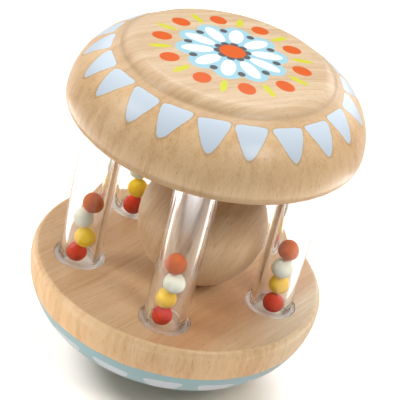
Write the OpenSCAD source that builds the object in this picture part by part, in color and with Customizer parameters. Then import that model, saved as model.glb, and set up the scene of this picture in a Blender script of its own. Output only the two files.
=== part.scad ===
// Wobble rattle: a turned base and a turned top joined by clear tubes. Pellets run in the tubes and
// a loose ball lies in the cage between them. Millimetres, +Z up, origin at the middle of the foot.

/* [Base] */
// Largest radius of the base, at its belly
base_r = 41.9; // [38:0.1:48]
// Height of the base from its foot to its flat top
base_h = 30.4; // [27:0.1:36]
// How far the edge of the flat top lies inside the belly
base_edge_inset = 0.9; // [0.6:0.1:2]
// How far the belly lies below the flat top
belly_drop = 3.2; // [2:0.1:5]
// Radius of the arc that turns the side under
base_side_r = 20; // [15:0.5:24]
// Diameter of the small flat that it stands on
foot_d = 16; // [8:1:24]

/* [Top] */
// Largest radius of the top
top_r = 41; // [38:0.1:48]
// Radius that rounds the lower edge of the top
top_edge_r = 3.2; // [2:0.1:5]
// Radius of the bulging side of the top
top_side_r = 16.8; // [14:0.1:20]
// Radius of the raised cap
cap_r = 30.5; // [29:0.1:31.5]
// Height of the cap's edge above the shoulder that it stands on
cap_h = 1.7; // [1:0.1:3]
// Radius that rounds the cap's edge
cap_edge_r = 6; // [4:0.1:8]
// Rise of the cap's dome from its edge to its middle
cap_dome_h = 0.9; // [0.5:0.1:3]
// Radius of the hollow between the cap and the side
valley_r = 2; // [1:0.1:3]

/* [Cage] */
// Clear height between the base and the top
cage_h = 45.5; // [40:0.1:60]
// Number of tubes
tube_count = 5; // [4:1:6]
// Distance of each tube's axis from the edge of the base's flat top
tube_inset = 12.1; // [10:0.1:14]
// How deep each tube sits in the top
tube_grip = 9; // [7:0.1:11]
// Gap for glue round a tube in its socket
glue_gap = 0.1; // [0.05:0.05:0.3]

/* [Tubes] */
// Outer diameter of a tube
tube_d = 12; // [11:0.1:14]
// Wall thickness of a tube
tube_wall = 1.8; // [1.2:0.1:2]
// Width of the collar round the tube
collar_w = 1.2; // [0.8:0.1:2]
// Height of the collar
collar_h = 1.6; // [1:0.1:3]
// Bevel on the collar's upper edge
collar_bevel = 0.3; // [0.1:0.05:0.5]
// How far the floor of a tube lies below the base's flat top
floor_drop = 1.6; // [0.5:0.1:3]
// Thickness of that floor, which closes the tube's lower end
floor_t = 2; // [1:0.1:3]
// Height of a stopper's head
stopper_head_h = 1.2; // [0.8:0.1:2]
// Length of the part of a stopper that plugs the tube
stopper_plug_h = 5; // [3:0.1:6]
// Gap between a stopper's plug and the tube
stopper_gap = 0.05; // [0.02:0.01:0.1]

/* [Pellets] */
// Diameter of a pellet
pellet_d = 5.8; // [5:0.1:6.2]
// Gap between a pellet and the wall that it lies nearest
pellet_wall_gap = 0.3; // [0.2:0.05:0.8]
// Gap under a pellet, to the floor or to the next one
pellet_gap = 0.15; // [0.1:0.05:0.4]

/* [Ball] */
// Diameter of the loose ball
ball_d = 36; // [32:0.1:40]
// Gap round the ball where it lies
ball_gap = 0.25; // [0.1:0.05:0.5]

/* [Hidden] */
$fn = 96;

// Cage: the first tube is at the front, and the others follow anticlockwise
tube_step = 360 / tube_count;
tube_r = tube_d / 2;
bore_r = tube_r - tube_wall;
collar_r = tube_r + collar_w;
flat_r = base_r - base_edge_inset;
pitch_r = flat_r - tube_inset;
top_z = base_h + cage_h;
socket_roof_z = top_z + tube_grip;
tube_end_z = socket_roof_z - stopper_head_h;
floor_z = base_h - floor_drop;
tube_start_z = floor_z - floor_t;

// Base outline: a shoulder arc above the belly, a side arc below it and a rocker arc under that.
// The rocker arc touches the side arc and meets the edge of the foot, which makes a quadratic
// for how far the rocker's centre lies above the belly.
belly_z = base_h - belly_drop;
foot_r = foot_d / 2;
shoulder_r = (base_edge_inset ^ 2 + belly_drop ^ 2) / (2 * base_edge_inset);
side_x = base_r - base_side_r;
arc_excess = foot_r ^ 2 + belly_z ^ 2 - side_x ^ 2 - base_side_r ^ 2;
rise_a = 4 * (base_side_r ^ 2 - belly_z ^ 2);
rise_b = -4 * arc_excess * belly_z;
rise_c = 4 * base_side_r ^ 2 * side_x ^ 2 - arc_excess ^ 2;
rocker_rise = (-rise_b - sqrt(rise_b ^ 2 - 4 * rise_a * rise_c)) / (2 * rise_a);
rocker_z = belly_z + rocker_rise;
rocker_r = norm([foot_r, rocker_z]);

// Top outline, measured up from its underside: the centres of its arcs
top_side_at = [top_r - top_side_r, top_edge_r];
shoulder_z = top_edge_r + top_side_r;
cap_edge_at = [cap_r - cap_edge_r, shoulder_z + cap_h - cap_edge_r];
dome_top_z = shoulder_z + cap_h + cap_dome_h;
dome_reach_z = dome_top_z - cap_edge_r;
dome_z = (cap_edge_at.x ^ 2 + cap_edge_at.y ^ 2 - dome_reach_z ^ 2) / (2 * (cap_edge_at.y - dome_reach_z));
dome_r = dome_top_z - dome_z;
dome_edge_x = cap_edge_at.x * dome_r / (dome_r - cap_edge_r);
valley_at = outer_meeting(top_side_at, top_side_r + valley_r, cap_edge_at, cap_edge_r + valley_r);

// The hollow bites this far into the arcs that it meets, so that no sliver is left between them
valley_bite = 0.01;

// Pellets: the colours of a stack from the floor up
PELLETS = [
    ["red_pellet", [0.69, 0.08, 0.06]],
    ["yellow_pellet", [0.93, 0.73, 0.16]],
    ["cream_pellet", [0.88, 0.90, 0.81]],
    ["orange_pellet", [0.80, 0.36, 0.18]],
];
// The side of the bore to which each pellet of a stack leans, a row for each tube, in degrees from +X
LEANS = [
    [160, 190, 280, 235],
    [320, 360, 300, 330],
    [100, 250, 60, 220],
    [250, 265, 200, 310],
    [180, 300, 180, 320],
];
pellet_swing = bore_r - pellet_d / 2 - pellet_wall_gap;
pellet_first_z = floor_z + pellet_gap + pellet_d / 2;

// Ball: it lies against the first and second tubes, half way between them
ball_reach = ball_d / 2 + tube_r + ball_gap;
ball_off = pitch_r * cos(tube_step / 2) - sqrt(ball_reach ^ 2 - (pitch_r * sin(tube_step / 2)) ^ 2);
ball_angle = tube_angle(1) + tube_step / 2;
ball_z = base_h + ball_gap + ball_d / 2;

BEECH = [0.87, 0.73, 0.55];
CLEAR = [0.86, 0.89, 0.90, 0.35];

function numbered(name, i) = str(name, "_", i);

function tube_angle(i) = 270 + (i - 1) * tube_step;

function at_angle(radius, angle) = [radius * cos(angle), radius * sin(angle)];

function tube_at(i) = at_angle(pitch_r, tube_angle(i));

// Where two circles meet, on the side away from the axis
function outer_meeting(a, radius_a, b, radius_b) =
    let (apart = norm(b - a))
    let (along = (radius_a ^ 2 - radius_b ^ 2 + apart ^ 2) / (2 * apart))
    let (across = sqrt(radius_a ^ 2 - along ^ 2))
    let (way = (b - a) / apart)
    a + along * way + across * [way.y, -way.x];

// The lean of pellet k, counted from the floor, in tube i
function pellet_lean(i, k) = LEANS[(i - 1) % len(LEANS)][k];

// Height of a pellet's centre: each one lies on the one below it
function pellet_z(i, k) =
    k == 0 ? pellet_first_z :
    let (aside = 2 * pellet_swing * sin((pellet_lean(i, k) - pellet_lean(i, k - 1)) / 2))
    pellet_z(i, k - 1) + sqrt((pellet_d + pellet_gap) ^ 2 - aside ^ 2);

function pellet_at(i, k) = concat(tube_at(i) + at_angle(pellet_swing, pellet_lean(i, k)), pellet_z(i, k));

module base_shoulder() {
    translate([0, belly_z])
        square([base_r - shoulder_r, belly_drop]);
    intersection() {
        translate([base_r - shoulder_r, belly_z])
            circle(shoulder_r);
        translate([0, belly_z])
            square([base_r, belly_drop]);
    }
}

module base_bowl() {
    rocker_at = [0, rocker_z];
    side_at = [side_x, belly_z];
    far = rocker_at + 2 * rocker_r * (side_at - rocker_at) / norm(side_at - rocker_at);
    intersection() {
        union() {
            translate(side_at)
                circle(base_side_r);
            intersection() {
                translate(rocker_at)
                    circle(rocker_r);
                polygon([rocker_at, far, [0, far.y]]);
            }
        }
        square([base_r, belly_z]);
    }
}

// A socket in the base's flat top: a bore for the tube and a wider seat for its collar
module base_socket() {
    translate([0, 0, tube_start_z - glue_gap])
        cylinder(r = tube_r + glue_gap, h = base_h);
    translate([0, 0, base_h - collar_h])
        cylinder(r = collar_r + glue_gap, h = 2 * collar_h);
}

module base() {
    color(BEECH)
        difference() {
            rotate_extrude() {
                base_shoulder();
                base_bowl();
            }
            for (i = [1 : tube_count])
                translate(tube_at(i))
                    base_socket();
        }
}

module top_bun() {
    square([top_r - top_edge_r, top_edge_r]);
    translate([top_r - top_edge_r, top_edge_r])
        circle(top_edge_r);
    translate([0, top_edge_r])
        square([top_side_at.x, top_side_r]);
    intersection() {
        translate(top_side_at)
            circle(top_side_r);
        translate([0, top_edge_r])
            square([top_r, top_side_r]);
    }
}

module top_cap() {
    translate(cap_edge_at)
        circle(cap_edge_r);
    intersection() {
        translate([0, dome_z])
            circle(dome_r);
        translate([0, top_edge_r])
            square([dome_edge_x, dome_top_z]);
    }
    polygon([top_side_at, valley_at, cap_edge_at]);
}

module top_outline() {
    difference() {
        union() {
            top_bun();
            top_cap();
        }
        translate(valley_at)
            circle(valley_r + valley_bite);
    }
}

module top() {
    color(BEECH)
        difference() {
            translate([0, 0, top_z])
                rotate_extrude()
                    top_outline();
            for (i = [1 : tube_count])
                translate(concat(tube_at(i), top_z - tube_grip))
                    cylinder(r = tube_r + glue_gap, h = 2 * tube_grip);
        }
}

// A clear moulding: a tube with a floor at its lower end and a collar
module tube(i) {
    seat_z = base_h - collar_h;
    color(CLEAR)
        translate(tube_at(i))
            rotate_extrude()
                polygon([
                    [0, tube_start_z],
                    [tube_r, tube_start_z],
                    [tube_r, seat_z],
                    [collar_r, seat_z],
                    [collar_r, base_h - collar_bevel],
                    [collar_r - collar_bevel, base_h],
                    [tube_r, base_h],
                    [tube_r, tube_end_z],
                    [bore_r, tube_end_z],
                    [bore_r, floor_z],
                    [0, floor_z],
                ]);
}

// A clear plug with a head that lies on the tube's upper end
module stopper(i) {
    color(CLEAR)
        translate(concat(tube_at(i), tube_end_z)) {
            cylinder(r = tube_r, h = stopper_head_h);
            translate([0, 0, -stopper_plug_h])
                cylinder(r = bore_r - stopper_gap, h = stopper_plug_h);
        }
}

module pellet(i, k) {
    color(PELLETS[k][1])
        translate(pellet_at(i, k))
            sphere(d = pellet_d);
}

module ball() {
    color(BEECH)
        translate(concat(at_angle(ball_off, ball_angle), ball_z))
            sphere(d = ball_d);
}

base();
top();
ball();
for (i = [1 : tube_count]) {
    tube(i);
    stopper(i);
    for (k = [0 : len(PELLETS) - 1])
        pellet(i, k);
}
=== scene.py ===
"""Looks of a wobble rattle: a turned beech base and top, clear tubes with pellets, and a loose beech ball."""
from collections import namedtuple
from math import pi, radians

import bmesh
import bpy
import numpy as np
from mathutils import Euler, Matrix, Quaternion, Vector


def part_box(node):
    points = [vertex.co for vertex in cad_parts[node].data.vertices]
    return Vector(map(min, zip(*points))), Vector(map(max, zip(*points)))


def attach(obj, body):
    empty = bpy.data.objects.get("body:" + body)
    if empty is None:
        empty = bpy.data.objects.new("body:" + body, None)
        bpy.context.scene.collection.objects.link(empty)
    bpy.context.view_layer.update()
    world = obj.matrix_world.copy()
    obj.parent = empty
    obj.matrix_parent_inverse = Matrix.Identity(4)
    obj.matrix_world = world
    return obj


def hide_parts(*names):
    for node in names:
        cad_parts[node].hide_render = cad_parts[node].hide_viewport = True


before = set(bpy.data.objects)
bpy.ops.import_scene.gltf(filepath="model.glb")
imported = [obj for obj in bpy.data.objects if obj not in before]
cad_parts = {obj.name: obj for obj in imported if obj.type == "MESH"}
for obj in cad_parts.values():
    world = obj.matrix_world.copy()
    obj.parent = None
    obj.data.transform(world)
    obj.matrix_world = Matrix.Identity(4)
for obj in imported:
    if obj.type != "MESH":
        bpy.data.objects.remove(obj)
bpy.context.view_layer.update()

MM = 0.001


# Sizes in millimetres


def node_box(node):
    """Lowest and highest corner of a CAD node, in millimetres."""
    low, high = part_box(node)
    return np.array(low) / MM, np.array(high) / MM


def node_middle(node):
    """Middle of a CAD node's box, in millimetres."""
    return np.mean(node_box(node), axis=0)


BASE_R = 41.9
BASE_H = 30.4
BASE_EDGE_INSET = 0.9
BELLY_DROP = 3.2
BASE_SIDE_R = 20.0
FOOT_R = 8.0
CREASE = 2.0

TOP_R = 41.0
TOP_Z = 75.9
TOP_EDGE_R = 3.2
TOP_SIDE_R = 16.8
CAP_R = 30.5
CAP_H = 1.7
CAP_EDGE_R = 6.0
CAP_DOME_H = 0.9
VALLEY_R = 2.0

TUBE_R = 6.0
BORE_R = 4.2
COLLAR_R = 7.2
COLLAR_H = 1.6
COLLAR_BEVEL = 0.3
TUBE_GRIP = 9.0
FLOOR_DROP = 1.6
FLOOR_T = 2.0
STOPPER_HEAD_H = 1.2
STOPPER_PLUG_H = 5.0
STOPPER_GAP = 0.05
GLUE_GAP = 0.1
SEAT_GAP = 0.05
SOCKET_LIP = 0.25

GATE_FLAT = 0.06
PARTING_SHARE = 0.008
PARTING_WIDTH = radians(3)

PELLET_COLOURS = ("red", "yellow", "cream", "orange")

TUBES = 5
FLAT_R = BASE_R - BASE_EDGE_INSET
BELLY_Z = BASE_H - BELLY_DROP
SEAT_Z = BASE_H - COLLAR_H
FLOOR_Z = BASE_H - FLOOR_DROP
TUBE_START_Z = FLOOR_Z - FLOOR_T
TOP_SOCKET_Z = TOP_Z + TUBE_GRIP
TUBE_END_Z = TOP_SOCKET_Z - STOPPER_HEAD_H

Tube = namedtuple("Tube", "number middle angle")


def place_tubes():
    """The tubes in order, each with the middle of its node and its angle round the axis."""
    tubes = []
    for number in range(1, TUBES + 1):
        middle = node_middle(f"tube_{number}")[:2]
        tubes.append(Tube(number, middle, np.arctan2(middle[1], middle[0])))
    return tubes


# Profiles: rows of (radius, height)


def arc(centre, radius, start, end, count=24):
    """Points of a circle: centre plus radius times (cos, sin) of evenly spaced angles, in degrees."""
    angle = np.radians(np.linspace(start, end, count))
    return np.array(centre) + radius * np.column_stack((np.cos(angle), np.sin(angle)))


def direction(start, end):
    """Angle of the way from one point to another, in degrees."""
    return np.degrees(np.arctan2(end[1] - start[1], end[0] - start[0]))


def outer_meeting(first, first_r, second, second_r):
    """Where two circles meet, on the side away from the axis."""
    gap = np.subtract(second, first)
    apart = np.hypot(*gap)
    along = (first_r**2 - second_r**2 + apart**2) / (2 * apart)
    across = np.sqrt(first_r**2 - along**2)
    way = gap / apart
    return first + along * way + across * np.array((way[1], -way[0]))


def soften(corners, sizes, count=6):
    """An open outline with rounded corners. Each corner becomes the curve
    (1-t)^2 a + 2t(1-t) c + t^2 b between points a and b on its two sides. A further point outside a and b
    keeps the straight stretches flat."""
    corners = np.array(corners, float)
    share = np.linspace(0, 1, count)[:, None]
    points = [corners[:1]]
    for before, corner, after, size in zip(corners, corners[1:], corners[2:], sizes):
        back = (before - corner) / np.hypot(*(before - corner))
        ahead = (after - corner) / np.hypot(*(after - corner))
        start = corner + size * back
        end = corner + size * ahead
        curve = (1 - share) ** 2 * start + 2 * share * (1 - share) * corner + share**2 * end
        points += [start[None] + 0.6 * size * back, curve, end[None] + 0.6 * size * ahead]
    points.append(corners[-1:])
    return np.concatenate(points)


def run_length(profile):
    """Distance of each point from the first one, along the profile."""
    steps = np.hypot(*np.diff(profile, axis=0).T)
    return np.concatenate(([0.0], np.cumsum(steps)))


def base_profile():
    """Outline of the base from the edge of its flat top to the middle of its foot: a rounded crease, a
    shoulder arc, a side arc, a rocker arc that touches the side arc, and the foot. Also the place of the
    belly along it."""
    shoulder_r = (BASE_EDGE_INSET**2 + BELLY_DROP**2) / (2 * BASE_EDGE_INSET)
    shoulder_at = np.array((BASE_R - shoulder_r, BELLY_Z))
    side_at = np.array((BASE_R - BASE_SIDE_R, BELLY_Z))
    excess = FOOT_R**2 + BELLY_Z**2 - side_at[0] ** 2 - BASE_SIDE_R**2
    square_term = 4 * (BASE_SIDE_R**2 - BELLY_Z**2)
    line_term = -4 * excess * BELLY_Z
    plain_term = 4 * BASE_SIDE_R**2 * side_at[0] ** 2 - excess**2
    rise = (-line_term - np.sqrt(line_term**2 - 4 * square_term * plain_term)) / (2 * square_term)
    rocker_at = np.array((0.0, BELLY_Z + rise))
    rocker_r = np.hypot(FOOT_R, rocker_at[1])
    meeting = direction(rocker_at, side_at)
    crease_angle = direction(shoulder_at, (FLAT_R, BASE_H))
    crease_end = crease_angle - np.degrees(CREASE / shoulder_r)
    after_crease = arc(shoulder_at, shoulder_r, crease_end, crease_end, 1)[0]
    crease = soften([(FLAT_R - 2 * CREASE, BASE_H), (FLAT_R, BASE_H), after_crease], [0.6 * CREASE])
    shoulder = arc(shoulder_at, shoulder_r, crease_end, 0, 12)
    side = arc(side_at, BASE_SIDE_R, 0, meeting, 36)
    rocker = arc(rocker_at, rocker_r, meeting, direction(rocker_at, (FOOT_R, 0)), 36)
    foot = np.column_stack((np.linspace(FOOT_R, 0, 8), np.zeros(8)))
    profile = np.concatenate((crease[:-1], shoulder, side[1:], rocker[1:], foot[1:]))
    belly = run_length(profile)[len(crease) - 1 + len(shoulder) - 1]
    return profile, belly


def top_profile():
    """Outline of the top from the edge of its flat underside to the middle of its dome: the lower edge, the
    bulging side, the hollow below the cap, the cap's edge and the dome. Also the place of the widest point
    along it."""
    side_at = np.array((TOP_R - TOP_SIDE_R, TOP_Z + TOP_EDGE_R))
    shoulder_z = side_at[1] + TOP_SIDE_R
    cap_at = np.array((CAP_R - CAP_EDGE_R, shoulder_z + CAP_H - CAP_EDGE_R))
    dome_top = shoulder_z + CAP_H + CAP_DOME_H
    reach = dome_top - CAP_EDGE_R - TOP_Z
    cap_rise = cap_at[1] - TOP_Z
    dome_z = (cap_at[0] ** 2 + cap_rise**2 - reach**2) / (2 * (cap_rise - reach)) + TOP_Z
    dome_at = np.array((0.0, dome_z))
    valley_at = outer_meeting(side_at, TOP_SIDE_R + VALLEY_R, cap_at, CAP_EDGE_R + VALLEY_R)
    edge = arc((TOP_R - TOP_EDGE_R, side_at[1]), TOP_EDGE_R, -90, 0, 16)
    side = arc(side_at, TOP_SIDE_R, 0, direction(side_at, valley_at), 48)
    valley_start = direction(valley_at, side_at) + 360
    valley = arc(valley_at, VALLEY_R, valley_start, direction(valley_at, cap_at) + 360, 14)
    cap_edge = arc(cap_at, CAP_EDGE_R, direction(cap_at, valley_at), direction(dome_at, cap_at), 20)
    dome = arc(dome_at, dome_top - dome_z, direction(dome_at, cap_at), 90, 40)
    profile = np.concatenate((edge, side[1:], valley[1:], cap_edge[1:], dome[1:]))
    return profile, run_length(profile)[len(edge) - 1]


def tube_profile():
    """Outline of a clear tube from the underside of its floor, round the collar and the wall, and back down
    the bore to the top of the floor."""
    corners = [
        (0, TUBE_START_Z),
        (TUBE_R, TUBE_START_Z),
        (TUBE_R, SEAT_Z),
        (COLLAR_R, SEAT_Z),
        (COLLAR_R, BASE_H - COLLAR_BEVEL),
        (COLLAR_R - COLLAR_BEVEL, BASE_H),
        (TUBE_R, BASE_H),
        (TUBE_R, TUBE_END_Z),
        (BORE_R, TUBE_END_Z),
        (BORE_R, FLOOR_Z),
        (0, FLOOR_Z),
    ]
    rounding = [0.3, 0.1, 0.15, 0.1, 0.1, 0.2, 0.2, 0.2, 0.7]
    return soften(corners, rounding)


def stopper_profile():
    """Outline of a stopper: a plug that fits the bore, under a head as wide as the tube."""
    plug_r = BORE_R - STOPPER_GAP
    plug_z = TUBE_END_Z - STOPPER_PLUG_H
    corners = [
        (0, plug_z),
        (plug_r, plug_z),
        (plug_r, TUBE_END_Z),
        (TUBE_R, TUBE_END_Z),
        (TUBE_R, TOP_SOCKET_Z),
        (0, TOP_SOCKET_Z),
    ]
    return soften(corners, [0.4, 0.1, 0.2, 0.2])


def base_socket_profile():
    """Outline of a socket in the base: a softened lip, the seat of the collar, the bore and its end. The seat
    lies a hair below the collar, so that light gets between them."""
    seat_r = COLLAR_R + GLUE_GAP
    seat_z = SEAT_Z - SEAT_GAP
    bore_r = TUBE_R + GLUE_GAP
    end_z = TUBE_START_Z - GLUE_GAP
    lip = [(seat_r + SOCKET_LIP, BASE_H), (seat_r, BASE_H)]
    corners = lip + [(seat_r, seat_z), (bore_r, seat_z), (bore_r, end_z), (0, end_z)]
    return soften(corners, [SOCKET_LIP / 2, 0.1, 0.1, 0.3])


def top_socket_profile():
    """Outline of a socket in the top: a softened lip, the bore and its roof."""
    bore_r = TUBE_R + GLUE_GAP
    corners = [(bore_r + SOCKET_LIP, TOP_Z), (bore_r, TOP_Z), (bore_r, TOP_SOCKET_Z), (0, TOP_SOCKET_Z)]
    return soften(corners, [SOCKET_LIP / 2, 0.3])


def round_profile(radius, flat=0.0, parting=0.0, count=48):
    """Outline of a ball from pole to pole. Its ends are cut flat, and a fine line stands out round its
    middle: the radius is smaller by the parting share away from it, with a bell curve over the line."""
    angle = np.linspace(-pi / 2, pi / 2, count + 1)
    line = np.exp(-((angle / PARTING_WIDTH) ** 2))
    reach = radius * (1 - parting * (1 - line))
    height = np.clip(reach * np.sin(angle), flat - radius, radius - flat)
    spread = reach * np.cos(angle)
    spread[[0, -1]] = 0
    return np.column_stack((spread, height))


# Surfaces: grids of points


EDGE_STEPS = 48
SIDE_STEPS = 24
FACE_STEPS = 14
TUBE_STEPS = 96
PELLET_STEPS = 48
FULL_TURN = np.linspace(0, 2 * pi, TUBES * EDGE_STEPS + 1)


def lathe(profile, turns=FULL_TURN, middle=(0.0, 0.0)):
    """A profile turned about an upright axis: x = mx + r cos a, y = my + r sin a, z = height."""
    radius, height = np.array(profile).T
    x = middle[0] + radius[:, None] * np.cos(turns)
    y = middle[1] + radius[:, None] * np.sin(turns)
    return np.stack((x, y, np.broadcast_to(height[:, None], x.shape)), axis=-1)


def sector_outline(angle, edge_r):
    """Outline of one tube's share of a round face: out from the middle, round the edge and back to the
    middle."""
    half = pi / TUBES
    out = np.linspace(0, edge_r, SIDE_STEPS)
    bow = np.linspace(angle - half, angle + half, EDGE_STEPS + 1)[1:-1]
    radius = np.concatenate((out, np.full(len(bow), edge_r), out[::-1]))
    turn = np.concatenate((np.full(SIDE_STEPS, angle - half), bow, np.full(SIDE_STEPS, angle + half)))
    return radius[:, None] * np.column_stack((np.cos(turn), np.sin(turn)))


def face_round_hole(tube, height, edge_r, hole_r):
    """One tube's share of a flat face: straight lines from the hole's circle to the sector's outline, with
    the steps closer at both ends as (1 - cos t) / 2. Also the angles of those lines round the hole."""
    outline = sector_outline(tube.angle, edge_r)
    away = outline - tube.middle
    turns = np.unwrap(np.arctan2(away[:, 1], away[:, 0]))
    rim = tube.middle + hole_r * np.column_stack((np.cos(turns), np.sin(turns)))
    share = (1 - np.cos(np.linspace(0, pi, FACE_STEPS))) / 2
    flat = rim + share[:, None, None] * (outline - rim)
    return np.concatenate((flat, np.full(flat.shape[:2] + (1,), height)), axis=-1), turns


def turned_with_sockets(profile, start, face_z, socket):
    """A turned body with a socket for each tube in its flat face: the outside, the shares of the face and the
    sockets. The outside carries its run length, measured from the given start."""
    run = run_length(profile) - start
    outside = lathe(profile)
    patches = [(outside, np.broadcast_to(run[:, None], outside.shape[:2]))]
    for tube in place_tubes():
        face, turns = face_round_hole(tube, face_z, profile[0, 0], socket[0, 0])
        patches += [(face, None), (lathe(socket, turns, tube.middle), None)]
    return patches


# Meshes


NO_RUN = -1000.0
SAME_POINT = 1e-6


def add_piece(name, patches, material, node, body):
    """One closed mesh from grids of points: each cell becomes a face, and points that coincide become one.
    The run length along the profile goes into an attribute, far off where a grid has none."""
    points, cells, runs = [], [], []
    count = 0
    for grid, run in patches:
        rows, columns = grid.shape[:2]
        index = count + np.arange(rows * columns).reshape(rows, columns)
        corners = (index[:-1, :-1], index[:-1, 1:], index[1:, 1:], index[1:, :-1])
        cells.append(np.stack(corners, axis=-1).reshape(-1, 4))
        points.append(grid.reshape(-1, 3) * MM)
        runs.append(np.full(rows * columns, NO_RUN) if run is None else run.ravel())
        count += rows * columns
    mesh = bpy.data.meshes.new(name)
    mesh.from_pydata(np.concatenate(points), [], np.concatenate(cells).tolist())
    mesh.attributes.new("run", "FLOAT", "POINT").data.foreach_set("value", np.concatenate(runs))
    shell = bmesh.new()
    shell.from_mesh(mesh)
    bmesh.ops.remove_doubles(shell, verts=shell.verts, dist=SAME_POINT)
    bmesh.ops.recalc_face_normals(shell, faces=shell.faces)
    shell.to_mesh(mesh)
    shell.free()
    mesh.shade_smooth()
    mesh.materials.append(material)
    piece = bpy.data.objects.new(name, mesh)
    bpy.context.scene.collection.objects.link(piece)
    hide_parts(node)
    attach(piece, body)


# Nodes


def colour(red, green, blue):
    """A colour given in the 0 to 255 steps of a picture, as a linear colour."""
    share = np.array((red, green, blue)) / 255
    linear = np.where(share <= 0.04045, share / 12.92, ((share + 0.055) / 1.055) ** 2.4)
    return (*linear.tolist(), 1.0)


class Wiring:
    """Puts nodes into one tree. A value is a number, a tuple or the output of another node."""

    def __init__(self, tree):
        self.tree = tree

    def put(self, kind, inputs=(), **settings):
        node = self.tree.nodes.new("ShaderNode" + kind)
        for key, value in settings.items():
            setattr(node, key, value)
        for key, value in dict(inputs).items():
            self.join(value, node.inputs[key])
        return node

    def join(self, value, socket):
        if isinstance(value, bpy.types.NodeSocket):
            self.tree.links.new(value, socket)
        else:
            socket.default_value = value

    def math(self, operation, *values):
        return self.put("Math", enumerate(values), operation=operation).outputs[0]

    def vector(self, operation, *values):
        return self.put("VectorMath", enumerate(values), operation=operation).outputs[0]

    def noise(self, place, stretch, detail=2.0):
        """Noise drawn out by the given lengths along the three axes."""
        scaled = self.vector("DIVIDE", place, stretch)
        return self.put("TexNoise", {"Vector": scaled, "Scale": 1.0, "Detail": detail}).outputs[0]

    def grain(self, place, stretch):
        """Noise from -0.5 to 0.5 with firm lights and darks."""
        return self.between(self.noise(place, stretch, 2.5), 0.3, 0.7, -0.5, 0.5)

    def ramp(self, share, first, middle, last):
        """A colour that goes from the first by way of the middle one to the last."""
        node = self.put("ValToRGB", {"Fac": share})
        stops = node.color_ramp.elements
        stops[0].color = first
        stops[1].color = last
        stops.new(0.5).color = middle
        return node.outputs[0]

    def between(self, value, low, high, first=0.0, last=1.0):
        """Goes smoothly from the first number at low to the last at high."""
        ends = {"Value": value, "From Min": low, "From Max": high, "To Min": first, "To Max": last}
        return self.put("MapRange", ends, interpolation_type="SMOOTHSTEP").outputs[0]

    def mix(self, share, first, second, blend="MIX"):
        node = self.put("Mix", {0: share, 6: first, 7: second}, data_type="RGBA", blend_type=blend)
        return node.outputs[2]

    def blend(self, share, first, second):
        """A number that goes from the first to the second."""
        return self.put("Mix", {0: share, 2: first, 3: second}).outputs[0]

    def group(self, tree, **inputs):
        node = self.put("Group", node_tree=tree)
        for key, value in inputs.items():
            self.join(value, node.inputs[key])
        return node.outputs


def new_group(name, inputs, outputs):
    """An empty node group. A socket named Place is a vector, one named Colour is a colour, and the rest are
    numbers."""
    tree = bpy.data.node_groups.new(name, "ShaderNodeTree")
    for way, names in (("INPUT", inputs), ("OUTPUT", outputs)):
        for socket in names:
            kind = {"Place": "Vector", "Colour": "Color"}.get(socket, "Float")
            tree.interface.new_socket(socket, in_out=way, socket_type="NodeSocket" + kind)
    wiring = Wiring(tree)
    entry = tree.nodes.new("NodeGroupInput").outputs
    leave = tree.nodes.new("NodeGroupOutput").inputs
    return wiring, entry, leave


def new_material(name):
    """A material with an empty tree and an output node. Gives the material, its wiring and the output."""
    material = bpy.data.materials.new(name)
    material.use_nodes = True
    material.node_tree.nodes.clear()
    wiring = Wiring(material.node_tree)
    return material, wiring, wiring.put("OutputMaterial")


def beech_group():
    """Beech as a solid: x runs along the fibre, y across it and z up, in millimetres. A face along the fibre
    has long soft streaks and short ray flecks. Where Side is 1 they are fine upright dashes, and the wood is
    more golden. A redder band runs along the fibre at the place across that Heart gives."""
    wiring, entry, leave = new_group("beech_grain", ["Place", "Heart", "Side"], ["Colour", "Relief"])
    place = entry["Place"]
    side = entry["Side"]
    drift = wiring.math("SUBTRACT", wiring.noise(place, (70, 26, 40)), 0.5)
    sway = wiring.put("CombineXYZ", {"Y": wiring.math("MULTIPLY", drift, 9.0)}).outputs[0]
    bent = wiring.vector("ADD", place, sway)
    tone = wiring.grain(bent, (130, 6, 24))
    streak = wiring.blend(side, wiring.grain(bent, (46, 1.2, 16)), wiring.grain(place, (1.8, 1.8, 26)))
    fibre = wiring.blend(side, wiring.grain(bent, (11, 0.33, 4.5)), wiring.grain(place, (0.4, 0.4, 4)))
    depth = wiring.math("MULTIPLY_ADD", tone, 0.42, 0.5)
    depth = wiring.math("MULTIPLY_ADD", streak, 0.3, depth)
    depth = wiring.math("MULTIPLY_ADD", fibre, 0.24, depth)
    along = wiring.between(wiring.noise(bent, (1.7, 0.28, 2.2), 1), 0.62, 0.76)
    upright = wiring.between(wiring.noise(place, (0.27, 0.27, 3.6), 1), 0.63, 0.77)
    ray = wiring.blend(side, along, upright)
    pale = wiring.ramp(depth, colour(238, 210, 174), colour(226, 192, 152), colour(206, 166, 123))
    gold = wiring.ramp(depth, colour(245, 211, 166), colour(237, 198, 149), colour(216, 170, 119))
    shade = wiring.mix(side, pale, gold)
    across = wiring.put("SeparateXYZ", {"Vector": bent}).outputs["Y"]
    aside = wiring.math("ABSOLUTE", wiring.math("SUBTRACT", across, entry["Heart"]))
    band = wiring.between(aside, 2.0, 11.0, 0.5, 0.0)
    red_band = wiring.math("MULTIPLY", band, wiring.math("SUBTRACT", 1.0, side))
    shade = wiring.mix(red_band, shade, colour(206, 140, 94))
    shade = wiring.mix(wiring.math("MULTIPLY", ray, 0.38), shade, colour(150, 102, 62))
    wiring.join(shade, leave["Colour"])
    wiring.join(wiring.math("MULTIPLY_ADD", ray, -0.7, wiring.math("MULTIPLY", fibre, 0.4)), leave["Relief"])
    return wiring.tree


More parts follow.
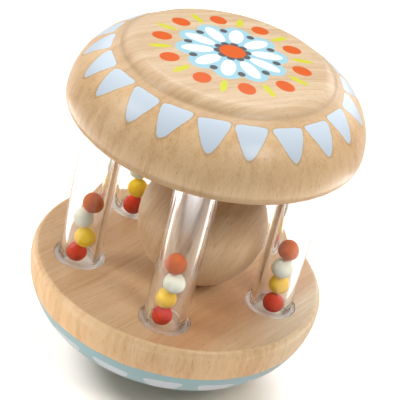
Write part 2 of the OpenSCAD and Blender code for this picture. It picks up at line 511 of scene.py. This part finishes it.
def ring_group():
    """Copies of a mark round the upright axis. Gives the way across from the middle of the nearest copy and
    the way out from the axis along it, in millimetres, and the copy's number. Turn 0 puts a copy at the
    front."""
    given = ["Place", "Count", "Turn"]
    wiring, entry, leave = new_group("marks_round_axis", given, ["Across", "Out", "Number"])
    parts = wiring.put("SeparateXYZ", {"Vector": entry["Place"]}).outputs
    front = wiring.math("MULTIPLY", parts["Y"], -1.0)
    angle = wiring.math("ARCTAN2", parts["X"], front)
    turns = wiring.math("ADD", wiring.math("DIVIDE", angle, 2 * pi), 1.0)
    cell = wiring.math("MULTIPLY_ADD", wiring.math("SUBTRACT", turns, entry["Turn"]), entry["Count"], 0.5)
    number = wiring.math("FLOOR", cell)
    offset = wiring.math("SUBTRACT", wiring.math("FRACT", cell), 0.5)
    aside = wiring.math("DIVIDE", wiring.math("MULTIPLY", offset, 2 * pi), entry["Count"])
    flat = wiring.put("CombineXYZ", {"X": parts["X"], "Y": parts["Y"]}).outputs[0]
    radius = wiring.put("VectorMath", {0: flat}, operation="LENGTH").outputs["Value"]
    wiring.join(wiring.math("MULTIPLY", radius, wiring.math("SINE", aside)), leave["Across"])
    wiring.join(wiring.math("MULTIPLY", radius, wiring.math("COSINE", aside)), leave["Out"])
    wiring.join(wiring.math("FLOORED_MODULO", number, entry["Count"]), leave["Number"])
    return wiring.tree


TOOTH_LEAN = 0.24
TOOTH_GROWTH = 0.8
TOOTH_TIP_ROUND = 7.0
TOOTH_HEAD_ROUND = 3.6


def tooth_group():
    """A rounded triangle that stands on its tip. Height counts up from the tip. Its distance is the smooth
    greatest of the distances outside the head edge and the two slanted sides. Each copy leans a little, by
    its number."""
    names = ["Place", "Across", "Height", "Length", "Half", "Number"]
    wiring, entry, leave = new_group("rounded_tooth", names, ["Mask", "Edge"])
    chance = wiring.put("TexWhiteNoise", {"W": entry["Number"]}, noise_dimensions="1D").outputs["Color"]
    draws = wiring.put("SeparateXYZ", {"Vector": chance}).outputs
    lean = wiring.math("MULTIPLY", wiring.math("SUBTRACT", draws["X"], 0.5), TOOTH_LEAN)
    slope = wiring.math("MULTIPLY", wiring.math("SUBTRACT", draws["Y"], 0.5), TOOTH_LEAN)
    growth = wiring.math("MULTIPLY", wiring.math("SUBTRACT", draws["Z"], 0.5), TOOTH_GROWTH)
    up = wiring.math("MULTIPLY_ADD", entry["Across"], slope, wiring.math("ADD", entry["Height"], growth))
    over = wiring.math("SUBTRACT", up, entry["Length"])
    aside = wiring.math("MULTIPLY_ADD", over, lean, entry["Across"])
    slant = wiring.math("ARCTAN2", entry["Half"], entry["Length"])
    out = wiring.math("MULTIPLY", aside, wiring.math("COSINE", slant))
    out = wiring.math("SMOOTH_MAX", out, wiring.math("MULTIPLY", out, -1.0), TOOTH_TIP_ROUND)
    side = wiring.math("SUBTRACT", out, wiring.math("MULTIPLY", up, wiring.math("SINE", slant)))
    away = wiring.math("SMOOTH_MAX", side, over, TOOTH_HEAD_ROUND)
    waver = wiring.math("SUBTRACT", wiring.noise(entry["Place"], (1.6, 1.6, 1.6)), 0.5)
    away = wiring.math("MULTIPLY_ADD", waver, 0.35, away)
    wiring.join(wiring.between(away, -0.09, 0.09, 1.0, 0.0), leave["Mask"])
    # A thin line just outside the mark, which carries the painted shadow of the paint's edge.
    rim = wiring.math("ABSOLUTE", wiring.math("SUBTRACT", away, 0.12))
    wiring.join(wiring.between(rim, 0.05, 0.3, 1.0, 0.0), leave["Edge"])
    return wiring.tree


def petal_group():
    """An oval mark: inside where ((out - middle) / length)^2 + (across / width)^2 is below 1."""
    names = ["Across", "Out", "Middle", "Length", "Width"]
    wiring, entry, leave = new_group("oval_mark", names, ["Mask"])
    along = wiring.math("DIVIDE", wiring.math("SUBTRACT", entry["Out"], entry["Middle"]), entry["Length"])
    aside = wiring.math("DIVIDE", entry["Across"], entry["Width"])
    square = wiring.math("MULTIPLY_ADD", along, along, wiring.math("MULTIPLY", aside, aside))
    away = wiring.math("MULTIPLY", wiring.math("SUBTRACT", wiring.math("SQRT", square), 1.0), entry["Width"])
    wiring.join(wiring.between(away, -0.1, 0.1, 1.0, 0.0), leave["Mask"])
    return wiring.tree


BEECH = beech_group()
RING = ring_group()
TOOTH = tooth_group()
PETAL = petal_group()


# Materials


SKY_BLUE = colour(163, 209, 223)
DIP_BLUE = colour(160, 197, 206)
# White of the triangles, greyer and bluer than the petals' white: painted shade, as the triangles face away
# from the light.
SHADED_CHALK_WHITE = colour(213, 226, 238)
PETAL_WHITE = colour(246, 248, 250)
SLATE_GREY = colour(92, 92, 95)
WARM_ORANGE = colour(224, 96, 22)
LIME_YELLOW = colour(214, 212, 56)
# Brown of the painted shadow in the groove below the cap and at the triangles' edges.
GROOVE_AND_EDGE_SHADOW = colour(150, 122, 92)

PLAIN_TINT = (1.0, 1.0, 1.0, 1.0)
# Tint of the base's flat top, darker and warmer: painted shade under the overhanging top.
FLAT_PAINTED_SHADE = (0.87, 0.81, 0.73, 1.0)
# Tint towards the right of the base, paler and whiter: a painted sheen of light from the right.
RIGHT_PAINTED_SHEEN = (1.0, 1.15, 1.35, 1.0)
RIGHT_SHEEN_STARTS = (20.0, 38.0)
# Tint of the cap's wood, a little darker and cooler: painted light, for the weaker, cooler light on the cap.
CAP_PAINTED_LIGHT_TINT = (0.93, 0.97, 1.02, 1.0)
# Tint of the ball's wood, darker and warmer: painted shade from the top above it.
BALL_PAINTED_SHADE = (0.86, 0.81, 0.75, 1.0)

BASE_FIBRE = (0.0, 0.0, radians(-60))
TOP_FIBRE = (0.0, 0.0, radians(-34))
BALL_FIBRE = (radians(12), radians(-20), radians(-80))
BASE_RED_BAND = -23.5
NO_RED_BAND = 500.0

PETALS = 10.0
CAP_PAINT_Z = 95.0

# Runs along the outlines, down from the base's belly and up from the top's widest line

BASE_SIDE_STARTS = (-3.8, -3.2)
DIP_RUN = 6.6
DIP_WAVER = 1.4
BASE_TIP_RUN = 21.2
TOP_SIDE_STARTS = (-5.2, -4.6)
TOP_SIDE_ENDS = (16.0, 24.0)
CAP_STARTS = (21.0, 27.0)
TOP_TIP_RUN = 6.5
GROOVE_RUN = 20.6

# Rounded triangles

BASE_TEETH = 16.0
BASE_TEETH_TURN = 5.5 / 360
BASE_TOOTH_LENGTH = 11.4
BASE_TOOTH_HALF = 6.26
TOP_TEETH = 21.0
TOP_TOOTH_LENGTH = 12.5
TOP_TOOTH_HALF = 4.9


def in_millimetres(wiring):
    """Object coordinates in millimetres."""
    place = wiring.put("TexCoord").outputs["Object"]
    return wiring.vector("MULTIPLY", place, (1 / MM, 1 / MM, 1 / MM))


def beech_start(wiring, turn, side, tint, red_band=NO_RED_BAND):
    """Object coordinates in millimetres, and the tinted beech colour and the relief of a piece whose fibre
    lies at a turn. Its upright sides are where side is 1, and its redder band lies so far across the fibre."""
    place = in_millimetres(wiring)
    fibre = wiring.put("Mapping", {"Vector": place, "Rotation": turn}).outputs[0]
    grain = wiring.group(BEECH, Place=fibre, Heart=red_band, Side=side)
    return place, wiring.mix(1.0, grain["Colour"], tint, "MULTIPLY"), grain["Relief"]


def lacquer(wiring, leave, shade, relief, rough):
    """Clear satin lacquer over wood or paint, with the relief as a fine bump."""
    bump = wiring.put("Bump", {"Strength": 0.25, "Distance": 0.00012, "Height": relief}).outputs[0]
    shader = wiring.put(
        "BsdfPrincipled",
        {
            "Base Color": shade,
            "Roughness": rough,
            "Specular IOR Level": 0.3,
            "Sheen Weight": 0.15,
            "Sheen Roughness": 0.3,
            "Normal": bump,
        },
    )
    wiring.join(shader.outputs[0], leave.inputs["Surface"])


def paint_over(wiring, shade, relief, mask, paint):
    """One coat of paint where the mask is 1. It fills the grain and stands a little proud."""
    shade = wiring.mix(mask, shade, paint)
    bare = wiring.math("MULTIPLY", relief, wiring.math("SUBTRACT", 1.0, wiring.math("MULTIPLY", mask, 0.8)))
    return shade, wiring.math("MULTIPLY_ADD", mask, 0.35, bare)


def ring_of_teeth(wiring, place, count, turn, height, length, half):
    """Mask and edge of rounded triangles round the axis."""
    ring = wiring.group(RING, Place=place, Count=count, Turn=turn)
    return wiring.group(
        TOOTH,
        Place=place,
        Across=ring["Across"],
        Height=height,
        Length=length,
        Half=half,
        Number=ring["Number"],
    )


def run_along(wiring):
    """The run length along a turned outline, in millimetres."""
    return wiring.put("Attribute", attribute_name="run").outputs["Fac"]


def beech_base():
    """Bare beech with a blue dipped underside and white rounded triangles round the dip. The flat top is
    tinted darker and warmer, painted shade under the top, and the wood is tinted paler towards the right,
    a painted sheen of light from that side."""
    material, wiring, leave = new_material("beech_base")
    run = run_along(wiring)
    side = wiring.between(run, *BASE_SIDE_STARTS)
    # The flat top and its sockets take the darker, warmer tint: painted shade.
    tint = wiring.mix(side, FLAT_PAINTED_SHADE, PLAIN_TINT)
    rightward = wiring.put("SeparateXYZ", {"Vector": in_millimetres(wiring)}).outputs["X"]
    # Paler towards the right: painted sheen of light from that side.
    tint = wiring.mix(wiring.between(rightward, *RIGHT_SHEEN_STARTS), tint, RIGHT_PAINTED_SHEEN)
    place, shade, relief = beech_start(wiring, BASE_FIBRE, side, tint, BASE_RED_BAND)
    waver = wiring.math("SUBTRACT", wiring.noise(place, (9, 9, 9)), 0.5)
    line = wiring.math("MULTIPLY_ADD", waver, DIP_WAVER, run)
    dip = wiring.between(line, DIP_RUN - 0.15, DIP_RUN + 0.15)
    shade, relief = paint_over(wiring, shade, relief, dip, DIP_BLUE)
    height = wiring.math("SUBTRACT", BASE_TIP_RUN, run)
    size = (BASE_TOOTH_LENGTH, BASE_TOOTH_HALF)
    teeth = ring_of_teeth(wiring, place, BASE_TEETH, BASE_TEETH_TURN, height, *size)
    # The triangles are painted in the white given as it looks in shade: painted shade.
    shade, relief = paint_over(wiring, shade, relief, teeth["Mask"], SHADED_CHALK_WHITE)
    lacquer(wiring, leave, shade, relief, 0.34)
    return material


def cap_rosette(wiring, place, shade, relief):
    """A painted flower in the middle of the cap: a blue scalloped disc, white petals and an orange heart,
    with orange dots and lime leaves round it. Each ring of oval marks has its place out from the axis, its
    half length, its half width and its paint."""
    petals = wiring.group(RING, Place=place, Count=PETALS, Turn=0.0)
    gaps = wiring.group(RING, Place=place, Count=PETALS, Turn=0.5 / PETALS)
    height = wiring.put("SeparateXYZ", {"Vector": place}).outputs["Z"]
    on_cap = wiring.between(height, CAP_PAINT_Z, CAP_PAINT_Z + 0.2)
    marks = [
        (petals, 11.2, 4.3, 4.0, SKY_BLUE),
        (gaps, 5.0, 8.2, 4.0, SKY_BLUE),
        (petals, 9.6, 4.4, 2.0, PETAL_WHITE),
        (gaps, 12.0, 1.15, 1.05, SLATE_GREY),
        (petals, 4.0, 1.2, 1.2, SLATE_GREY),
        (petals, 0.0, 3.6, 3.6, WARM_ORANGE),
        (gaps, 19.0, 2.7, 2.4, WARM_ORANGE),
        (petals, 19.6, 3.0, 1.0, LIME_YELLOW),
    ]
    for ring, middle, length, width, paint in marks:
        spot = {"Across": ring["Across"], "Out": ring["Out"]}
        oval = wiring.group(PETAL, **spot, Middle=middle, Length=length, Width=width)
        mask = wiring.math("MULTIPLY", oval["Mask"], on_cap)
        shade, relief = paint_over(wiring, shade, relief, mask, paint)
    return shade, relief


def beech_top():
    """Bare beech with white rounded triangles round its shoulder and a painted flower on its cap. The
    groove below the cap and thin lines round the triangles are darkened with painted shade, and the cap's
    wood is tinted darker and cooler as painted light.
    """
    material, wiring, leave = new_material("beech_top")
    run = run_along(wiring)
    below_cap = wiring.between(run, *TOP_SIDE_ENDS, 1.0, 0.0)
    side = wiring.math("MULTIPLY", wiring.between(run, *TOP_SIDE_STARTS), below_cap)
    # The cap's wood takes the darker, cooler tint: painted light.
    tint = wiring.mix(wiring.between(run, *CAP_STARTS), PLAIN_TINT, CAP_PAINTED_LIGHT_TINT)
    place, shade, relief = beech_start(wiring, TOP_FIBRE, side, tint)
    height = wiring.math("SUBTRACT", run, TOP_TIP_RUN)
    teeth = ring_of_teeth(wiring, place, TOP_TEETH, 0.0, height, TOP_TOOTH_LENGTH, TOP_TOOTH_HALF)
    groove = wiring.math("ABSOLUTE", wiring.math("SUBTRACT", run, GROOVE_RUN))
    # A darker ring in the groove below the cap: painted shade.
    shade = wiring.mix(wiring.between(groove, 0.3, 3.0, 0.26, 0.0), shade, GROOVE_AND_EDGE_SHADOW)
    # A thin dark line round each triangle: painted shadow of the paint's raised edge.
    shade = wiring.mix(wiring.math("MULTIPLY", teeth["Edge"], 0.3), shade, GROOVE_AND_EDGE_SHADOW)
    # The triangles are painted in the white given as it looks in shade: painted shade.
    shade, relief = paint_over(wiring, shade, relief, teeth["Mask"], SHADED_CHALK_WHITE)
    shade, relief = cap_rosette(wiring, place, shade, relief)
    lacquer(wiring, leave, shade, relief, 0.3)
    return material


def beech_ball():
    """Bare beech with its fibre across the ball, tinted darker and warmer as painted shade from the top
    above it.
    """
    material, wiring, leave = new_material("beech_ball")
    shade, relief = beech_start(wiring, BALL_FIBRE, 0.0, BALL_PAINTED_SHADE)[1:]
    lacquer(wiring, leave, shade, relief, 0.38)
    return material


def clear_plastic():
    """Clear moulded plastic with a faint flow ripple, frosted at the collar. Lamps shine through it."""
    material, wiring, leave = new_material("clear_plastic")
    place = in_millimetres(wiring)
    ripple = wiring.noise(place, (3, 3, 16))
    bump = wiring.put("Bump", {"Strength": 0.1, "Distance": 0.0002, "Height": ripple}).outputs[0]
    rough = wiring.between(wiring.noise(place, (1.5, 1.5, 9), 3), 0.45, 0.75, 0.02, 0.05)
    height = wiring.put("SeparateXYZ", {"Vector": place}).outputs["Z"]
    rough = wiring.blend(wiring.between(height, BASE_H, BASE_H + 0.3), 0.35, rough)
    glass = wiring.put(
        "BsdfPrincipled",
        {
            "Base Color": (0.985, 0.99, 0.99, 1.0),
            "Roughness": rough,
            "IOR": 1.58,
            "Transmission Weight": 1.0,
            "Normal": bump,
        },
    )
    through = wiring.put("BsdfTransparent", {"Color": (0.985, 0.985, 0.985, 1.0)})
    lamp_ray = wiring.put("LightPath").outputs["Is Shadow Ray"]
    both = wiring.put("MixShader", {0: lamp_ray, 1: glass.outputs[0], 2: through.outputs[0]})
    wiring.join(both.outputs[0], leave.inputs["Surface"])
    return material


def pellet_plastic(name, light, deep):
    """Satin moulded plastic, a little uneven in colour and sheen."""
    material, wiring, leave = new_material(name)
    place = in_millimetres(wiring)
    cloud = wiring.between(wiring.noise(place, (2.5, 2.5, 2.5), 3), 0.35, 0.65)
    shade = wiring.mix(cloud, deep, light)
    rough = wiring.between(cloud, 0.0, 1.0, 0.28, 0.4)
    grit = wiring.noise(place, (0.35, 0.35, 0.35))
    bump = wiring.put("Bump", {"Strength": 0.08, "Distance": 0.0001, "Height": grit}).outputs[0]
    shader = wiring.put(
        "BsdfPrincipled",
        {
            "Base Color": shade,
            "Roughness": rough,
            "Specular IOR Level": 0.04,
            "Normal": bump,
        },
    )
    wiring.join(shader.outputs[0], leave.inputs["Surface"])
    return material


# Pieces


def make_base(material):
    """The turned base."""
    profile, belly = base_profile()
    patches = turned_with_sockets(profile, belly, BASE_H, base_socket_profile())
    add_piece("beech_base", patches, material, "base", "frame")


def make_top(material):
    """The turned top."""
    profile, widest = top_profile()
    patches = turned_with_sockets(profile, widest, TOP_Z, top_socket_profile())
    add_piece("beech_top", patches, material, "top", "frame")


def make_ball(material):
    """The loose ball: a turned sphere."""
    low, high = node_box("ball")
    grid = lathe(round_profile((high[2] - low[2]) / 2, count=72))
    add_piece("beech_ball", [(grid + (low + high) / 2, None)], material, "ball", "ball")


def make_tubes(material):
    """The clear tubes and the stoppers in their upper ends."""
    for tube in place_tubes():
        turns = np.linspace(0, 2 * pi, TUBE_STEPS + 1)
        for word, profile in (("tube", tube_profile()), ("stopper", stopper_profile())):
            grid = lathe(profile, turns, tube.middle)
            node = f"{word}_{tube.number}"
            add_piece("clear_" + node, [(grid, None)], material, node, "frame")


def make_pellets(materials):
    """The pellets: moulded balls with a fine parting line and a flat gate mark, each lying turned another
    way."""
    count = 0
    for tube in place_tubes():
        for word in PELLET_COLOURS:
            node = f"{word}_pellet_{tube.number}"
            low, high = node_box(node)
            profile = round_profile((high[2] - low[2]) / 2, GATE_FLAT, PARTING_SHARE, count=32)
            grid = lathe(profile, np.linspace(0, 2 * pi, PELLET_STEPS + 1))
            turned = Euler((2.4 * count, 1.1 * count, 0.0)).to_matrix()
            grid = grid @ np.array(turned).T + (low + high) / 2
            name = f"{word}_bead_{tube.number}"
            add_piece(name, [(grid, None)], materials[word], node, node)
            count += 1


# Stage


PHOTO_WIDTH = 400
FOCAL_PIXELS = 1600.3
SENSOR_WIDTH = 36.0
CAMERA_AT = Vector((0.0, -381.6, 280.4)) * MM
CAMERA_AIM = Vector((1.42, 0.0, 51.9)) * MM
CAMERA_ROLL = radians(14.4)

RATTLE_MIDDLE = Vector((0.0, 0.0, 0.055))
SHADOW_MIDDLE = (0.008, -0.012, 0.0)
WORLD_LIGHT = 0.27
FRONT_IN_GLASS = 0.12
DIM_GLOSS = 0.15

# Floor and gloss card, in metres. A pair gives where a change starts and where it ends

FLOOR_HALF = 3.0
FLOOR_SHADE = (0.94, 0.78, 0.66, 1.0)
FLOOR_AHEAD = (0.1, 0.1, 0.1, 1.0)
FLOOR_DARKENS = (-0.09, -0.06)
SHADOW_ENDS = (0.018, 0.036)
SHADOW_GLOW = 0.6
FLOOR_WHITENS = (0.25, 0.8)

CARD_GLOSS = 12.5
CARD_DIM = 0.3
CARD_FAR_SHARE = 0.2
CARD_BRIGHTENS = (0.115, 0.2)
CARD_FADES = (0.16, 0.2)
CARD_REACH = 0.4
CARD_NEAR = 0.12
CARD_BACK = 0.1
CARD_Z = 0.002


def add_camera():
    """The photograph's view, turned about the line of sight because the rattle leans in the picture."""
    lens = bpy.data.cameras.new("camera")
    lens.sensor_width = SENSOR_WIDTH
    lens.lens = SENSOR_WIDTH * FOCAL_PIXELS / PHOTO_WIDTH
    lens.clip_start = 0.01
    camera = bpy.data.objects.new("camera", lens)
    look = (CAMERA_AIM - CAMERA_AT).to_track_quat("-Z", "Y")
    camera.rotation_mode = "QUATERNION"
    camera.rotation_quaternion = look @ Quaternion((0, 0, 1), CAMERA_ROLL)
    camera.location = CAMERA_AT
    bpy.context.scene.collection.objects.link(camera)
    bpy.context.scene.camera = camera


def add_softbox(name, at, aim, size, radiance):
    """A square lamp of a given size in metres whose face has the given radiance."""
    lamp = bpy.data.lights.new(name, "AREA")
    lamp.size = size
    lamp.energy = radiance * pi * size**2
    light = bpy.data.objects.new(name, lamp)
    light.location = at
    light.rotation_euler = (aim - at).to_track_quat("-Z", "Y").to_euler()
    light.visible_camera = False
    bpy.context.scene.collection.objects.link(light)
    return lamp


def show_strength(wiring, way, light):
    """Light strength as it is for diffuse rays, and white for rays that show the surroundings to the camera.
    Through glass they are dark in front, where the camera stands, and white from the sides to the back. In
    gloss they are dim, because there the lamps and the card show. Light that a matt surface scatters meets
    the plain strength."""
    path = wiring.put("LightPath").outputs
    depth = wiring.put("SeparateXYZ", {"Vector": way}).outputs["Y"]
    through = wiring.between(depth, -0.5, 0.1, FRONT_IN_GLASS, 1.0)
    scattered = wiring.math("MINIMUM", path["Diffuse Depth"], 1.0)
    through = wiring.blend(scattered, through, light)
    seen = wiring.blend(path["Is Glossy Ray"], light, DIM_GLOSS)
    seen = wiring.blend(path["Is Transmission Ray"], seen, through)
    return wiring.blend(path["Is Camera Ray"], seen, 1.0)


def add_stage_mesh(name, corners, faces, material):
    """A mesh of flat faces that belongs to the stage and not to the part."""
    mesh = bpy.data.meshes.new(name)
    mesh.from_pydata(corners, [], faces)
    mesh.materials.append(material)
    thing = bpy.data.objects.new(name, mesh)
    bpy.context.scene.collection.objects.link(thing)
    return thing


def add_floor():
    """A pale floor that keeps the shadow. Away from the rattle it shows as plain white. In front of the
    picture it is dark, but not to the eye. From below it is clear."""
    material, wiring, leave = new_material("pale_floor")
    place = wiring.put("TexCoord").outputs["Object"]
    offset = wiring.vector("SUBTRACT", place, SHADOW_MIDDLE)
    away = wiring.put("VectorMath", {0: offset}, operation="LENGTH").outputs["Value"]
    way = wiring.vector("NORMALIZE", place)
    near = wiring.between(away, *SHADOW_ENDS, 0.0, SHADOW_GLOW)
    far = wiring.between(away, *FLOOR_WHITENS, 0.0, 1.0 - SHADOW_GLOW)
    white = wiring.math("ADD", near, far)
    glow = wiring.math("MULTIPLY", show_strength(wiring, way, 0.0), white)
    depth = wiring.put("SeparateXYZ", {"Vector": place}).outputs["Y"]
    ahead = wiring.between(depth, *FLOOR_DARKENS, 1.0, 0.0)
    unseen = wiring.math("SUBTRACT", 1.0, wiring.put("LightPath").outputs["Is Camera Ray"])
    shade = wiring.mix(wiring.math("MULTIPLY", ahead, unseen), FLOOR_SHADE, FLOOR_AHEAD)
    shader = wiring.put(
        "BsdfPrincipled",
        {
            "Base Color": shade,
            "Roughness": 0.9,
            "Specular IOR Level": 0.1,
            "Emission Color": (1.0, 1.0, 1.0, 1.0),
            "Emission Strength": glow,
        },
    )
    below = wiring.put("NewGeometry").outputs["Backfacing"]
    clear = wiring.put("BsdfTransparent")
    both = wiring.put("MixShader", {0: below, 1: shader.outputs[0], 2: clear.outputs[0]})
    wiring.join(both.outputs[0], leave.inputs["Surface"])
    half = FLOOR_HALF
    corners = [(-half, -half, 0), (half, -half, 0), (half, half, 0), (-half, half, 0)]
    add_stage_mesh("floor", corners, [(0, 1, 2, 3)], material)


def add_gloss_card():
    """A card on the floor, in front and at both sides, which shows in gloss and glass only. It is dim on the
    side of the rattle, bright a hand's breadth away and dim again beyond."""
    material, wiring, leave = new_material("gloss_card")
    place = wiring.put("TexCoord").outputs["Object"]
    away = wiring.put("VectorMath", {0: place}, operation="LENGTH").outputs["Value"]
    scattered = wiring.math("MINIMUM", wiring.put("LightPath").outputs["Diffuse Depth"], 1.0)
    rise = wiring.between(away, *CARD_BRIGHTENS, CARD_DIM, CARD_GLOSS)
    fall = wiring.between(away, *CARD_FADES, 1.0, CARD_FAR_SHARE)
    strength = wiring.blend(scattered, wiring.math("MULTIPLY", rise, fall), 0.0)
    glow = wiring.put("Emission", {"Strength": strength})
    wiring.join(glow.outputs[0], leave.inputs["Surface"])
    front = (-CARD_REACH, -CARD_REACH, CARD_REACH, -CARD_NEAR)
    left = (-CARD_REACH, -CARD_NEAR, -CARD_NEAR, CARD_BACK)
    right = (CARD_NEAR, -CARD_NEAR, CARD_REACH, CARD_BACK)
    corners = []
    for x0, y0, x1, y1 in (front, left, right):
        corners += [(x0, y0, CARD_Z), (x1, y0, CARD_Z), (x1, y1, CARD_Z), (x0, y1, CARD_Z)]
    faces = np.arange(len(corners)).reshape(-1, 4).tolist()
    card = add_stage_mesh("gloss_card", corners, faces, material)
    card.visible_camera = False
    card.visible_diffuse = False
    card.visible_shadow = False


def add_world():
    """White surroundings for the eye, which give a soft light all round."""
    world = bpy.data.worlds.new("world")
    world.use_nodes = True
    wiring = Wiring(world.node_tree)
    back = world.node_tree.nodes["Background"]
    back.inputs["Color"].default_value = (1.0, 1.0, 1.0, 1.0)
    way = wiring.put("TexCoord").outputs["Generated"]
    wiring.join(show_strength(wiring, way, WORLD_LIGHT), back.inputs["Strength"])
    bpy.context.scene.world = world


def around(azimuth, elevation, distance=0.5):
    """A place round the rattle, in metres. Azimuth 0 is in front and 90 at the right, in degrees."""
    turn, rise = radians(azimuth), radians(elevation)
    way = Vector((np.cos(rise) * np.sin(turn), -np.cos(rise) * np.cos(turn), np.sin(rise)))
    return RATTLE_MIDDLE + distance * way


def add_lights():
    """Soft studio light: boxes behind, at the sides and in front, a weak one on the floor in front that
    shines up, and a narrow beam along the floor onto the painted underside."""
    boxes = [
        ("right", around(120, 30), 0.3, 1.0),
        ("back_left", around(220, 30), 0.3, 1.3),
        ("back", around(180, 60), 0.3, 4.2),
        ("front_right", around(45, 47), 0.16, 11.5),
        ("left", around(280, 42), 0.16, 7.0),
        ("low_left", around(285, 12), 0.2, 2.4),
        ("low_back_right", around(150, 16), 0.2, 2.5),
    ]
    for name, at, size, radiance in boxes:
        add_softbox(name, at, RATTLE_MIDDLE, size, radiance)
    ahead = Vector((0.0, -0.16, 0.004))
    overhead = Vector((0.0, -0.16, 1.0))
    add_softbox("floor_card", ahead, overhead, 0.24, 0.35)
    low_left = Vector((-0.085, -0.06, 0.008))
    underside = Vector((-0.03, -0.02, 0.014))
    low_beam = add_softbox("low_beam", low_left, underside, 0.05, 0.35)
    low_beam.spread = radians(40)


def main():
    """Builds the pieces and the stage."""
    make_base(beech_base())
    make_top(beech_top())
    make_ball(beech_ball())
    make_tubes(clear_plastic())
    make_pellets(
        {
            "red": pellet_plastic("red_plastic", colour(220, 46, 8), colour(194, 22, 4)),
            "yellow": pellet_plastic("yellow_plastic", colour(255, 216, 50), colour(252, 196, 28)),
            "cream": pellet_plastic("cream_plastic", colour(250, 250, 230), colour(240, 242, 216)),
            "orange": pellet_plastic("orange_plastic", colour(220, 106, 26), colour(204, 88, 18)),
        }
    )
    add_floor()
    add_gloss_card()
    add_world()
    add_lights()
    add_camera()
    bpy.context.scene.view_settings.view_transform = "Standard"


main()
